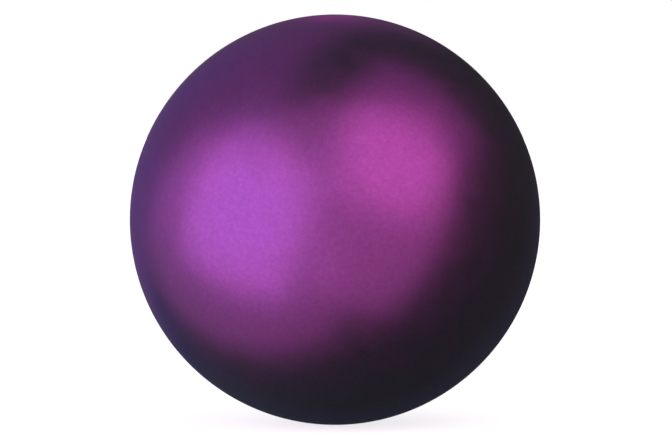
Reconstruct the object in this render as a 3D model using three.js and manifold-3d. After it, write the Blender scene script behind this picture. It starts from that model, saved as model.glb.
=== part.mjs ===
// A drilled ten-pin bowling ball, in millimetres, with +Z up and its origin at the ball's centre.
// The side towards -Y is bare. The three grip holes, the locator pin and the centre-of-gravity mark
// are on the far side. The thumb hole is lined with a slug that pulls out once its lock is open.
import * as THREE from "three";
import { mergeVertices } from "three/addons/utils/BufferGeometryUtils.js";
import Module from "manifold-3d";

// Driving sizes of the moulded ball
const BALL_DIAMETER = 217.2;
const COVER_WALL = 24;
const BOND_GAP = 0.3;

// Weight block, measured along the pin's axis from the ball's centre
const BLOCK_BULB_RADIUS = 42;
const BLOCK_BULB_DROP = 8;
const BLOCK_NECK_RADIUS = 25;
const BLOCK_TOP = 50;
const BLOCK_WAIST_FILLET = 12;
const BLOCK_TOP_FILLET = 6;
const FLIP_BLOCK_RADIUS = 18;
const FLIP_BLOCK_HEIGHT = 24;

// Locator pin and centre-of-gravity mark
const PIN_DIAMETER = 11.1;
const PIN_PAST_FINGERS = 40;
const PIN_TO_THE_RIGHT = 12;
const MARK_DIAMETER = 3.6;
const MARK_DEPTH = 0.9;
const MARK_TO_THE_RIGHT = 27;
const MARK_TOWARDS_THUMB = 6;

// Grip layout, measured over the ball's surface
const GRIP_SPAN = 108;
const FINGER_BRIDGE = 9.5;
const GRIP_AZIMUTH_DEG = 225;
const GRIP_ELEVATION_DEG = 0;
const GRIP_ROLL_DEG = 90;

// Finger holes and the inserts glued into them
const INSERT_DIAMETER = 24.6;
const INSERT_LENGTH = 22.2;
const INSERT_BORE = 19.4;
const INSERT_LIP = 2;
const INSERT_OVAL_SHARE = 0.9;
const FINGER_HOLE_DIAMETER = 19;
const FINGER_HOLE_DEPTH = 38.1;

// Thumb sleeve, glued into a hole that is drilled until it bites into the weight block's bulb
const THUMB_HOLE_BITE = 2.6;
const SLEEVE_DIAMETER = 38.1;
const SLEEVE_WALL = 1.6;
const SLEEVE_FLOOR = 1.6;
const CATCH_PLATE = 3;

// Thumb slug, which slides in the sleeve
const SLIDE_CLEARANCE = 0.3;
const SLUG_FLOOR = 7;
const SLUG_LIP = 3.2;
const SLUG_FOOT_CHAMFER = 1;
const THUMB_BORE = 25.4;
const SLUG_TENON = 2.5;

// Quarter-turn lock under the slug
const TURN_CLEARANCE = 0.3;
const BAR_LENGTH = 26;
const BAR_WIDTH = 11;
const BAR_THICKNESS = 5;
const BAR_HEADROOM = 0.5;
const SLOT_CLEARANCE = 0.5;
const SPINDLE_HEAD_DIAMETER = 13;
const SPINDLE_HEAD = 3;
const SPINDLE_NECK_DIAMETER = 7;
const SPINDLE_FLATS = 5.6;
const SPINDLE_TANG = 1.6;
const KEY_SOCKET_ACROSS_FLATS = 6;
const KEY_SOCKET_DEPTH = 2;
const SCREW_DIAMETER = 3.2;
const SCREW_LENGTH = 8;
const SCREW_HEAD_DIAMETER = 6;
const SCREW_HEAD = 1.8;
const SCREW_SLOT_WIDTH = 0.9;
const SCREW_SLOT_DEPTH = 0.8;

// A cut runs past the surface it opens by this much
const OVERRUN = 5;

// Counts of flats round each kind of curve
const BALL_SEGMENTS = 56;
const INNER_BALL_SEGMENTS = 32;
const BLOCK_SEGMENTS = 24;
const HOLE_SEGMENTS = 36;
const SMALL_SEGMENTS = 20;
const KEY_SIDES = 6;
const ARC_STEPS = 4;
const LIP_STEPS = 5;

// Sizes that follow from the ones above
const BALL_RADIUS = BALL_DIAMETER / 2;
const COVER_INNER_RADIUS = BALL_RADIUS - COVER_WALL;
const OUTER_CORE_RADIUS = COVER_INNER_RADIUS - BOND_GAP;
const INSERT_RADIUS = INSERT_DIAMETER / 2;
const INSERT_BORE_RADIUS = INSERT_BORE / 2;
const FINGER_HOLE_RADIUS = FINGER_HOLE_DIAMETER / 2;
const PIN_RADIUS = PIN_DIAMETER / 2;
const MARK_RADIUS = MARK_DIAMETER / 2;
const SLEEVE_RADIUS = SLEEVE_DIAMETER / 2;
const SLEEVE_BORE_RADIUS = SLEEVE_RADIUS - SLEEVE_WALL;
const SLUG_RADIUS = SLEEVE_BORE_RADIUS - SLIDE_CLEARANCE;
const THUMB_BORE_RADIUS = THUMB_BORE / 2;

// Heights in the thumb hole, measured from the ball's centre along the hole's axis. The hole is
// about square to the pin's axis, on which the bulb's middle lies below the ball's centre.
const BULB_BESIDE_CENTRE = Math.sqrt(BLOCK_BULB_RADIUS ** 2 - BLOCK_BULB_DROP ** 2);
const SLEEVE_BASE = BULB_BESIDE_CENTRE - THUMB_HOLE_BITE;
const CHAMBER_BASE = SLEEVE_BASE + SLEEVE_FLOOR;
const BAR_BASE = CHAMBER_BASE + BAR_HEADROOM;
const BAR_TOP = BAR_BASE + BAR_THICKNESS;
const CHAMBER_TOP = BAR_TOP + BAR_HEADROOM;
const SLUG_SEAT = CHAMBER_TOP + CATCH_PLATE;
const SLUG_BASE = SLUG_SEAT + SLIDE_CLEARANCE;
const THUMB_FLOOR = SLUG_BASE + SLUG_FLOOR;
const SPINDLE_HEAD_BASE = THUMB_FLOOR - SPINDLE_HEAD;

// The fillet between the weight block's bulb and neck
const WAIST_CENTRE_RADIUS = BLOCK_NECK_RADIUS + BLOCK_WAIST_FILLET;
const WAIST_RISE = Math.sqrt((BLOCK_BULB_RADIUS + BLOCK_WAIST_FILLET) ** 2 - WAIST_CENTRE_RADIUS ** 2);

// Angles of the grip, seen from the ball's centre
const HALF_SPAN_ANGLE = (GRIP_SPAN + THUMB_BORE_RADIUS + INSERT_BORE_RADIUS) / BALL_RADIUS / 2;
const HALF_BRIDGE_ANGLE = (FINGER_BRIDGE + INSERT_DIAMETER) / BALL_RADIUS / 2;

const wasm = await Module();
wasm.setup();

// Frames. Each has its +Z along a hole's axis, pointing out of the ball, and starts at the ball's centre.
const turnX = (angle) => new THREE.Matrix4().makeRotationX(angle);
const turnY = (angle) => new THREE.Matrix4().makeRotationY(angle);
const turnZ = (angle) => new THREE.Matrix4().makeRotationZ(angle);

function chain(...turns) {
  const frame = new THREE.Matrix4();
  for (const turn of turns) frame.multiply(turn);
  return frame;
}

const RIGHT_ANGLE = Math.PI / 2;
const BALL_FRAME = new THREE.Matrix4();
const GRIP_FRAME = chain(
  turnZ(THREE.MathUtils.degToRad(GRIP_AZIMUTH_DEG)),
  turnX(RIGHT_ANGLE - THREE.MathUtils.degToRad(GRIP_ELEVATION_DEG)),
  turnZ(THREE.MathUtils.degToRad(GRIP_ROLL_DEG)),
);
const THUMB_FRAME = chain(GRIP_FRAME, turnX(HALF_SPAN_ANGLE));
const MIDDLE_FRAME = chain(GRIP_FRAME, turnX(-HALF_SPAN_ANGLE), turnY(-HALF_BRIDGE_ANGLE));
const RING_FRAME = chain(GRIP_FRAME, turnX(-HALF_SPAN_ANGLE), turnY(HALF_BRIDGE_ANGLE));
const PIN_FRAME = chain(
  GRIP_FRAME,
  turnX(-HALF_SPAN_ANGLE - PIN_PAST_FINGERS / BALL_RADIUS),
  turnY(PIN_TO_THE_RIGHT / BALL_RADIUS),
);
const MARK_FRAME = chain(
  GRIP_FRAME,
  turnX(MARK_TOWARDS_THUMB / BALL_RADIUS),
  turnY(MARK_TO_THE_RIGHT / BALL_RADIUS),
);

// Outlines are lists of (distance from the axis, height along it).
const point = (radius, height) => new THREE.Vector2(radius, height);

// Points on a circle round (radius, height), from one angle to another, both ends included.
function arc(radius, height, size, from, to, steps = ARC_STEPS) {
  const points = [];
  for (let i = 0; i <= steps; i++) {
    const angle = from + ((to - from) * i) / steps;
    points.push(point(radius + size * Math.cos(angle), height + size * Math.sin(angle)));
  }
  return points;
}

// A whole ball. Its rings lie half a step off the poles, which leaves a small flat at each pole.
// The flats lie at the ball's own radius, so the corners between them lie a little outside it.
function ballOutline(radius, segments) {
  const rings = segments / 2;
  const step = Math.PI / rings;
  const corner = radius / Math.cos(step / 2);
  return [
    point(0, -radius),
    ...arc(0, 0, corner, -RIGHT_ANGLE + step / 2, RIGHT_ANGLE - step / 2, rings - 1),
    point(0, radius),
  ];
}

// The point of the ball's surface that lies a given distance off a hole's axis.
const onSurface = (radius) => point(radius, Math.sqrt(BALL_RADIUS ** 2 - radius ** 2));

// A rounded lip that leaves the ball's surface and ends on the wall of a bore.
function lip(boreRadius, size) {
  const middle = boreRadius + size;
  const height = Math.sqrt((BALL_RADIUS - size) ** 2 - middle ** 2);
  return arc(middle, height, size, Math.atan2(height, middle), Math.PI, LIP_STEPS);
}

// A solid of revolution about +Z.
function revolve(outline, segments) {
  return new THREE.LatheGeometry(outline, segments).rotateX(RIGHT_ANGLE);
}

function cylinder(radius, base, top, segments = HOLE_SEGMENTS) {
  return revolve([point(0, base), point(radius, base), point(radius, top), point(0, top)], segments);
}

function prism(shape, base, top, curveSegments = ARC_STEPS) {
  const options = { depth: top - base, bevelEnabled: false, curveSegments };
  return new THREE.ExtrudeGeometry(shape, options).translate(0, 0, base);
}

// A bar's plan: straight sides, and ends that are arcs round its middle.
function barShape(length, width) {
  const shape = new THREE.Shape();
  const corner = Math.asin(width / length);
  shape.absarc(0, 0, length / 2, -corner, corner);
  shape.absarc(0, 0, length / 2, Math.PI - corner, Math.PI + corner);
  shape.closePath();
  return shape;
}

function polygonShape(sides, acrossFlats) {
  const size = acrossFlats / 2 / Math.cos(Math.PI / sides);
  const corners = [];
  for (let i = 0; i < sides; i++) {
    const angle = (2 * Math.PI * i) / sides;
    corners.push(new THREE.Vector2(size * Math.cos(angle), size * Math.sin(angle)));
  }
  return new THREE.Shape(corners);
}

function boxShape(width, height) {
  return new THREE.Shape([
    new THREE.Vector2(-width / 2, -height / 2),
    new THREE.Vector2(width / 2, -height / 2),
    new THREE.Vector2(width / 2, height / 2),
    new THREE.Vector2(-width / 2, height / 2),
  ]);
}

// A geometry as a solid that can be joined and cut, moved into a frame.
function solid(geometry, frame = BALL_FRAME) {
  const bare = geometry.clone().applyMatrix4(frame);
  bare.deleteAttribute("normal");
  bare.deleteAttribute("uv");
  const merged = mergeVertices(bare);
  return new wasm.Manifold(
    new wasm.Mesh({
      numProp: 3,
      vertProperties: merged.attributes.position.array,
      triVerts: new Uint32Array(merged.index.array),
    }),
  );
}

function geometryOf(body) {
  const made = body.getMesh();
  const geometry = new THREE.BufferGeometry();
  geometry.setAttribute("position", new THREE.BufferAttribute(made.vertProperties, made.numProp));
  geometry.setIndex(new THREE.BufferAttribute(made.triVerts, 1));
  geometry.computeVertexNormals();
  return geometry;
}

// Cuts each tool out of a body.
function cut(body, ...tools) {
  return tools.reduce((rest, tool) => rest.subtract(tool), body);
}

// Drilled holes, each as a solid in the ball's own frame
function fingerDrill(frame) {
  const top = BALL_RADIUS + OVERRUN;
  const seat = BALL_RADIUS - INSERT_LENGTH - BOND_GAP;
  const floor = BALL_RADIUS - FINGER_HOLE_DEPTH;
  const outline = [
    point(0, floor),
    point(FINGER_HOLE_RADIUS, floor),
    point(FINGER_HOLE_RADIUS, seat),
    point(INSERT_RADIUS + BOND_GAP, seat),
    point(INSERT_RADIUS + BOND_GAP, top),
    point(0, top),
  ];
  return solid(revolve(outline, HOLE_SEGMENTS), frame);
}

function thumbDrill() {
  const hole = cylinder(SLEEVE_RADIUS + BOND_GAP, SLEEVE_BASE - BOND_GAP, BALL_RADIUS + OVERRUN);
  return solid(hole, THUMB_FRAME);
}

function pinDrill() {
  const hole = cylinder(PIN_RADIUS + BOND_GAP, BLOCK_TOP, BALL_RADIUS + OVERRUN, SMALL_SEGMENTS);
  return solid(hole, PIN_FRAME);
}

function markPunch() {
  const base = BALL_RADIUS - MARK_DEPTH - BOND_GAP;
  const hole = cylinder(MARK_RADIUS + BOND_GAP, base, BALL_RADIUS + OVERRUN, SMALL_SEGMENTS);
  return solid(hole, MARK_FRAME);
}

const DRILLS = [fingerDrill(MIDDLE_FRAME), fingerDrill(RING_FRAME), thumbDrill(), pinDrill()];

// The moulded ball
function coverstock() {
  const outside = solid(revolve(ballOutline(BALL_RADIUS, BALL_SEGMENTS), BALL_SEGMENTS));
  const insideOutline = ballOutline(COVER_INNER_RADIUS, INNER_BALL_SEGMENTS);
  const inside = solid(revolve(insideOutline, INNER_BALL_SEGMENTS));
  return geometryOf(cut(outside, inside, ...DRILLS, markPunch()));
}

// The weight block's side, from its widest part up to the top, grown outwards by a clearance.
function blockSide(grow) {
  const meeting = Math.atan2(WAIST_RISE, WAIST_CENTRE_RADIUS);
  const waist = BLOCK_WAIST_FILLET - grow;
  const corner = BLOCK_TOP_FILLET + grow;
  const cornerRadius = BLOCK_NECK_RADIUS - BLOCK_TOP_FILLET;
  return [
    ...arc(0, -BLOCK_BULB_DROP, BLOCK_BULB_RADIUS + grow, 0, meeting),
    ...arc(WAIST_CENTRE_RADIUS, WAIST_RISE - BLOCK_BULB_DROP, waist, meeting + Math.PI, Math.PI).slice(1),
    ...arc(cornerRadius, BLOCK_TOP - BLOCK_TOP_FILLET, corner, 0, RIGHT_ANGLE, LIP_STEPS),
    point(0, BLOCK_TOP + grow),
  ];
}

function blockCavity() {
  const bulb = BLOCK_BULB_RADIUS + BOND_GAP;
  const belly = arc(0, -BLOCK_BULB_DROP, bulb, -RIGHT_ANGLE, 0, 2 * ARC_STEPS).slice(0, -1);
  belly[0].x = 0;
  return solid(revolve([...belly, ...blockSide(BOND_GAP)], BLOCK_SEGMENTS), PIN_FRAME);
}

function outerCore() {
  const outline = ballOutline(OUTER_CORE_RADIUS, INNER_BALL_SEGMENTS);
  const outside = solid(revolve(outline, INNER_BALL_SEGMENTS));
  return geometryOf(cut(outside, blockCavity(), ...DRILLS));
}

// The angle at which the bulb's surface is a given distance off the axis, on its lower side.
const bulbAngle = (radius) => -Math.acos(radius / BLOCK_BULB_RADIUS);

function weightBlock() {
  const pocket = FLIP_BLOCK_RADIUS + BOND_GAP;
  const ceiling = FLIP_BLOCK_HEIGHT - BLOCK_BULB_DROP - BLOCK_BULB_RADIUS + BOND_GAP;
  const belly = arc(0, -BLOCK_BULB_DROP, BLOCK_BULB_RADIUS, bulbAngle(pocket), 0, 2 * ARC_STEPS);
  const outline = [
    point(0, ceiling),
    point(pocket, ceiling),
    ...belly.slice(0, -1),
    ...blockSide(0),
  ];
  const body = solid(revolve(outline, BLOCK_SEGMENTS), PIN_FRAME);
  return geometryOf(cut(body, thumbDrill()));
}

function flipBlock() {
  const top = FLIP_BLOCK_HEIGHT - BLOCK_BULB_DROP - BLOCK_BULB_RADIUS;
  const base = arc(0, -BLOCK_BULB_DROP, BLOCK_BULB_RADIUS, -RIGHT_ANGLE, bulbAngle(FLIP_BLOCK_RADIUS));
  base[0].x = 0;
  return revolve([...base, point(FLIP_BLOCK_RADIUS, top), point(0, top)], BLOCK_SEGMENTS);
}

function locatorPin() {
  const base = BLOCK_TOP + BOND_GAP;
  const outline = [
    point(0, base),
    point(PIN_RADIUS, base),
    onSurface(PIN_RADIUS),
    onSurface(PIN_RADIUS / 2),
    onSurface(0),
  ];
  return revolve(outline, SMALL_SEGMENTS);
}

function gravityMark() {
  return cylinder(MARK_RADIUS, BALL_RADIUS - MARK_DEPTH, BALL_RADIUS, SMALL_SEGMENTS);
}

// The grip
// Narrows a round bore across its own Y, and leaves the outer wall round.
function makeOval(geometry, boreRadius, outerRadius, share) {
  const position = geometry.getAttribute("position");
  for (let i = 0; i < position.count; i++) {
    const radius = Math.hypot(position.getX(i), position.getY(i));
    const depth = THREE.MathUtils.clamp((outerRadius - radius) / (outerRadius - boreRadius), 0, 1);
    position.setY(i, position.getY(i) * THREE.MathUtils.lerp(1, share, depth));
  }
  return geometry;
}

function fingerInsert() {
  const base = BALL_RADIUS - INSERT_LENGTH;
  const outline = [
    point(INSERT_BORE_RADIUS, base),
    point(INSERT_RADIUS, base),
    onSurface(INSERT_RADIUS),
    ...lip(INSERT_BORE_RADIUS, INSERT_LIP),
    point(INSERT_BORE_RADIUS, base),
  ];
  const round = revolve(outline, HOLE_SEGMENTS);
  return makeOval(round, INSERT_BORE_RADIUS, INSERT_RADIUS, INSERT_OVAL_SHARE);
}

function thumbSleeve() {
  const outline = [
    point(0, SLEEVE_BASE),
    point(SLEEVE_RADIUS, SLEEVE_BASE),
    onSurface(SLEEVE_RADIUS),
    onSurface(SLEEVE_BORE_RADIUS),
    point(SLEEVE_BORE_RADIUS, SLUG_SEAT),
    point(0, SLUG_SEAT),
  ];
  const chamber = cylinder(BAR_LENGTH / 2 + SLOT_CLEARANCE, CHAMBER_BASE, CHAMBER_TOP);
  const slotPlan = barShape(BAR_LENGTH + 2 * SLOT_CLEARANCE, BAR_WIDTH + 2 * SLOT_CLEARANCE);
  const slot = prism(slotPlan, CHAMBER_BASE, SLUG_SEAT + OVERRUN);
  return geometryOf(cut(solid(revolve(outline, HOLE_SEGMENTS)), solid(chamber), solid(slot)));
}

function thumbSlug() {
  const headHole = SPINDLE_HEAD_DIAMETER / 2 + TURN_CLEARANCE;
  const headSeat = SPINDLE_HEAD_BASE - TURN_CLEARANCE;
  const outline = [
    point(0, SLUG_BASE),
    point(SLUG_RADIUS - SLUG_FOOT_CHAMFER, SLUG_BASE),
    point(SLUG_RADIUS, SLUG_BASE + SLUG_FOOT_CHAMFER),
    onSurface(SLUG_RADIUS),
    ...lip(THUMB_BORE_RADIUS, SLUG_LIP),
    point(THUMB_BORE_RADIUS, THUMB_FLOOR),
    point(headHole, THUMB_FLOOR),
    point(headHole, headSeat),
    point(0, headSeat),
  ];
  const tenonTop = SLUG_BASE + SLUG_FOOT_CHAMFER;
  const tenon = prism(barShape(BAR_LENGTH, BAR_WIDTH), SLUG_BASE - SLUG_TENON, tenonTop);
  const neckHole = SPINDLE_NECK_DIAMETER / 2 + TURN_CLEARANCE;
  const bore = cylinder(neckHole, SLUG_BASE - SLUG_TENON - OVERRUN, THUMB_FLOOR, SMALL_SEGMENTS);
  const body = solid(revolve(outline, HOLE_SEGMENTS)).add(solid(tenon));
  return geometryOf(cut(body, solid(bore)));
}

// The lock
function lockSpindle() {
  const neck = SPINDLE_NECK_DIAMETER / 2;
  const tangBase = BAR_TOP - SPINDLE_TANG;
  const outline = [
    point(0, tangBase),
    point(neck, tangBase),
    point(neck, SPINDLE_HEAD_BASE),
    point(SPINDLE_HEAD_DIAMETER / 2, SPINDLE_HEAD_BASE),
    point(SPINDLE_HEAD_DIAMETER / 2, THUMB_FLOOR),
    point(0, THUMB_FLOOR),
  ];
  const shoulder = BAR_TOP + BOND_GAP;
  const tang = prism(boxShape(SPINDLE_FLATS, SPINDLE_NECK_DIAMETER), tangBase - OVERRUN, shoulder);
  const above = cylinder(SPINDLE_HEAD_DIAMETER, shoulder, THUMB_FLOOR + OVERRUN, SMALL_SEGMENTS);
  const keepPart = solid(tang).add(solid(above));
  const socketBase = THUMB_FLOOR - KEY_SOCKET_DEPTH;
  const socket = prism(polygonShape(KEY_SIDES, KEY_SOCKET_ACROSS_FLATS), socketBase, THUMB_FLOOR + OVERRUN);
  const screwTop = BAR_BASE + SCREW_HEAD + SCREW_LENGTH + BOND_GAP;
  const screwHole = cylinder(SCREW_DIAMETER / 2 + BOND_GAP, tangBase - OVERRUN, screwTop, SMALL_SEGMENTS);
  const body = solid(revolve(outline, SMALL_SEGMENTS)).intersect(keepPart);
  return geometryOf(cut(body, solid(socket), solid(screwHole)));
}

function lockBar() {
  const tangHole = cylinder(
    SPINDLE_NECK_DIAMETER / 2 + BOND_GAP,
    BAR_TOP - SPINDLE_TANG - BOND_GAP,
    BAR_TOP + OVERRUN,
    SMALL_SEGMENTS,
  );
  const flats = prism(
    boxShape(SPINDLE_FLATS + 2 * BOND_GAP, SPINDLE_NECK_DIAMETER + 2 * BOND_GAP),
    BAR_BASE,
    BAR_TOP + OVERRUN,
  );
  const shankHole = cylinder(SCREW_DIAMETER / 2 + BOND_GAP, BAR_BASE - OVERRUN, BAR_TOP, SMALL_SEGMENTS);
  const headHole = cylinder(
    SCREW_HEAD_DIAMETER / 2 + BOND_GAP,
    BAR_BASE - OVERRUN,
    BAR_BASE + SCREW_HEAD + BOND_GAP,
    SMALL_SEGMENTS,
  );
  const body = solid(prism(barShape(BAR_LENGTH, BAR_WIDTH), BAR_BASE, BAR_TOP));
  return geometryOf(cut(body, solid(tangHole).intersect(solid(flats)), solid(shankHole), solid(headHole)));
}

function lockScrew() {
  const headTop = BAR_BASE + SCREW_HEAD;
  const outline = [
    point(0, BAR_BASE),
    point(SCREW_HEAD_DIAMETER / 2, BAR_BASE),
    point(SCREW_HEAD_DIAMETER / 2, headTop),
    point(SCREW_DIAMETER / 2, headTop),
    point(SCREW_DIAMETER / 2, headTop + SCREW_LENGTH),
    point(0, headTop + SCREW_LENGTH),
  ];
  const slotPlan = boxShape(2 * SCREW_HEAD_DIAMETER, SCREW_SLOT_WIDTH);
  const slot = prism(slotPlan, BAR_BASE - OVERRUN, BAR_BASE + SCREW_SLOT_DEPTH);
  return geometryOf(cut(solid(revolve(outline, SMALL_SEGMENTS)), solid(slot)));
}

// Colours and finishes
function finish(color, roughness, metalness = 0) {
  return new THREE.MeshStandardMaterial({ color, roughness, metalness });
}

const PEARL = finish(0x5a2063, 0.5, 0.5);
const FILLER = finish(0x8f8a86, 0.9);
const DENSE_RESIN = finish(0x9c3b2e, 0.8);
const DENSER_RESIN = finish(0x2f2c33, 0.8);
const PIN_RESIN = finish(0xd9cbe6, 0.4);
const INSERT_RUBBER = finish(0x2a2530, 0.75);
const SLEEVE_PLASTIC = finish(0x3a3540, 0.5);
const SLUG_PLASTIC = finish(0x17151a, 0.45);
const LOCK_STEEL = finish(0xa8a9ad, 0.35, 1);

// The assembly: each frame is a group, and each piece a named mesh in it.
const ball = new THREE.Group();

function place(frame, pieces) {
  const group = new THREE.Group();
  group.applyMatrix4(frame);
  for (const [name, geometry, material] of pieces) {
    const mesh = new THREE.Mesh(geometry, material);
    mesh.name = name;
    group.add(mesh);
  }
  ball.add(group);
}

// The weight block is cut by the thumb hole, so it is built in the ball's frame like the layers round it.
place(BALL_FRAME, [
  ["coverstock", coverstock(), PEARL],
  ["outer_core", outerCore(), FILLER],
  ["weight_block", weightBlock(), DENSE_RESIN],
]);
place(PIN_FRAME, [
  ["flip_block", flipBlock(), DENSER_RESIN],
  ["locator_pin", locatorPin(), PIN_RESIN],
]);
place(MARK_FRAME, [["cg_mark", gravityMark(), PIN_RESIN]]);
place(MIDDLE_FRAME, [["middle_finger_insert", fingerInsert(), INSERT_RUBBER]]);
place(RING_FRAME, [["ring_finger_insert", fingerInsert(), INSERT_RUBBER]]);
place(THUMB_FRAME, [
  ["thumb_sleeve", thumbSleeve(), SLEEVE_PLASTIC],
  ["thumb_slug", thumbSlug(), SLUG_PLASTIC],
  ["lock_spindle", lockSpindle(), LOCK_STEEL],
  ["lock_bar", lockBar(), LOCK_STEEL],
  ["lock_screw", lockScrew(), LOCK_STEEL],
]);

export default ball;
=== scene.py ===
import math

import bmesh
import bpy
from mathutils import Matrix, Vector


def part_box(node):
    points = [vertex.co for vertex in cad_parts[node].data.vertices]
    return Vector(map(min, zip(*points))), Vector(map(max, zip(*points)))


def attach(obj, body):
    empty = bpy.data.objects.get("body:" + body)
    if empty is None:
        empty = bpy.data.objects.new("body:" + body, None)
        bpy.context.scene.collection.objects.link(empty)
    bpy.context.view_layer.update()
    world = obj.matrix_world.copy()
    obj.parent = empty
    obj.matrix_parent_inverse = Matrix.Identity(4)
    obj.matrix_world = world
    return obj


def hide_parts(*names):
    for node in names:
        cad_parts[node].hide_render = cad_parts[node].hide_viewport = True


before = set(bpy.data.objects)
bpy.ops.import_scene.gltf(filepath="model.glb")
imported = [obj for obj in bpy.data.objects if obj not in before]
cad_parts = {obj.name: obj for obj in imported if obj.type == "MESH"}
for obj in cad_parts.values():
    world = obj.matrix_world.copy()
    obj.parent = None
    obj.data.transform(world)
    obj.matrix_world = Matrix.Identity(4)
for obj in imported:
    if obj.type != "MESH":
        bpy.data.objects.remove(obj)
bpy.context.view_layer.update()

# The photograph, in pixels of its 672 by 440 frame
PHOTO_WIDTH_PX = 672
PHOTO_HEIGHT_PX = 440
BALL_CENTRE_X_PX = 335.0
BALL_CENTRE_Y_PX = 219.65
BALL_RADIUS_PX = 205.3

# The camera stands off the bare side of the ball, a little above its centre.
CAMERA_DISTANCE = 3
CAMERA_ELEVATION_DEG = 3
SENSOR_WIDTH_MM = 36

# The ball and its layers
BALL_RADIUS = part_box("coverstock")[1].x
BOND_GAP = 0.0003
MOUTH_ROUNDING = 0.0006
EDGE_ROUNDING = 0.0003

# Top of the weight block, which the pin's hole reaches
BLOCK_TOP = 0.050

# Locator pin and centre-of-gravity mark
PIN_RADIUS = 0.00555
PIN_PAST_FINGERS = 0.040
PIN_TO_THE_RIGHT = 0.012
MARK_RADIUS = 0.0018
MARK_DEPTH = 0.0009
MARK_TO_THE_RIGHT = 0.027
MARK_TOWARDS_THUMB = 0.006

# Grip layout, measured over the ball's surface
GRIP_SPAN = 0.108
FINGER_BRIDGE = 0.0095
GRIP_AZIMUTH_DEG = 225
GRIP_ROLL_DEG = 90

# Finger holes and their inserts
INSERT_RADIUS = 0.0123
INSERT_LENGTH = 0.0222
INSERT_BORE_RADIUS = 0.0097
INSERT_LIP = 0.002
INSERT_OVAL_SHARE = 0.9
FINGER_HOLE_RADIUS = 0.0095
FINGER_HOLE_DEPTH = 0.0381

# Thumb sleeve, slug and lock
SLEEVE_RADIUS = 0.01905
SLEEVE_WALL = 0.0016
SLEEVE_FLOOR = 0.0016
CATCH_PLATE = 0.003
SLIDE_CLEARANCE = 0.0003
SLUG_FLOOR = 0.007
SLUG_LIP = 0.0032
SLUG_FOOT_CHAMFER = 0.001
SLUG_TENON = 0.0025
THUMB_BORE_RADIUS = 0.0127
TURN_CLEARANCE = 0.0003
BAR_LENGTH = 0.026
BAR_WIDTH = 0.011
BAR_THICKNESS = 0.005
BAR_HEADROOM = 0.0005
SLOT_CLEARANCE = 0.0005
SPINDLE_HEAD_RADIUS = 0.0065
SPINDLE_HEAD = 0.003
SPINDLE_NECK_RADIUS = 0.0035
SPINDLE_FLATS = 0.0056
SPINDLE_TANG = 0.0016
KEY_SOCKET_ACROSS_FLATS = 0.006
KEY_SOCKET_DEPTH = 0.002
SCREW_RADIUS = 0.0016
SCREW_LENGTH = 0.008
SCREW_HEAD_RADIUS = 0.003
SCREW_HEAD = 0.0018
SCREW_SLOT_WIDTH = 0.0009
SCREW_SLOT_DEPTH = 0.0008

# How far the lock's chamber reaches past the slot over it, so that their cuts share no wall
CHAMBER_UNDERCUT = 0.00005

# How far a cutter runs out past what it cuts
OVERRUN = 0.005

# Counts of flats
BALL_SEGMENTS = 192
HOLE_SEGMENTS = 96
SMALL_SEGMENTS = 48
ARC_STEPS = 8
SHORT_ARC_STEPS = 4
BEVEL_STEPS = 3
KEY_SIDES = 6

SLEEVE_BORE_RADIUS = SLEEVE_RADIUS - SLEEVE_WALL
SLUG_RADIUS = SLEEVE_BORE_RADIUS - SLIDE_CLEARANCE


def add_object(name, data):
    made = bpy.data.objects.new(name, data)
    bpy.context.scene.collection.objects.link(made)
    return made


def turn(angle, axis):
    return Matrix.Rotation(angle, 4, axis)


# Camera, floor and light
def direction(azimuth_deg, elevation_deg):
    """The direction from the ball to a place. Azimuth 0 is the camera's side, and 90 is +X."""
    azimuth = math.radians(azimuth_deg)
    elevation = math.radians(elevation_deg)
    level = math.cos(elevation)
    return Vector((math.sin(azimuth) * level, -math.cos(azimuth) * level, math.sin(elevation)))


def set_up_camera():
    """Frames the ball at the size and place that it has in the photograph."""
    data = bpy.data.cameras.new("camera")
    angular_radius = math.asin(BALL_RADIUS / CAMERA_DISTANCE)
    focal_px = BALL_RADIUS_PX / math.tan(angular_radius)
    data.sensor_fit = "HORIZONTAL"
    data.sensor_width = SENSOR_WIDTH_MM
    data.lens = focal_px * SENSOR_WIDTH_MM / PHOTO_WIDTH_PX
    data.shift_x = (PHOTO_WIDTH_PX / 2 - BALL_CENTRE_X_PX) / PHOTO_WIDTH_PX
    data.shift_y = (BALL_CENTRE_Y_PX - PHOTO_HEIGHT_PX / 2) / PHOTO_WIDTH_PX
    camera = add_object("camera", data)
    away = direction(0, CAMERA_ELEVATION_DEG)
    camera.location = away * CAMERA_DISTANCE
    camera.rotation_mode = "QUATERNION"
    camera.rotation_quaternion = (-away).to_track_quat("-Z", "Y")
    bpy.context.scene.camera = camera


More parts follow.
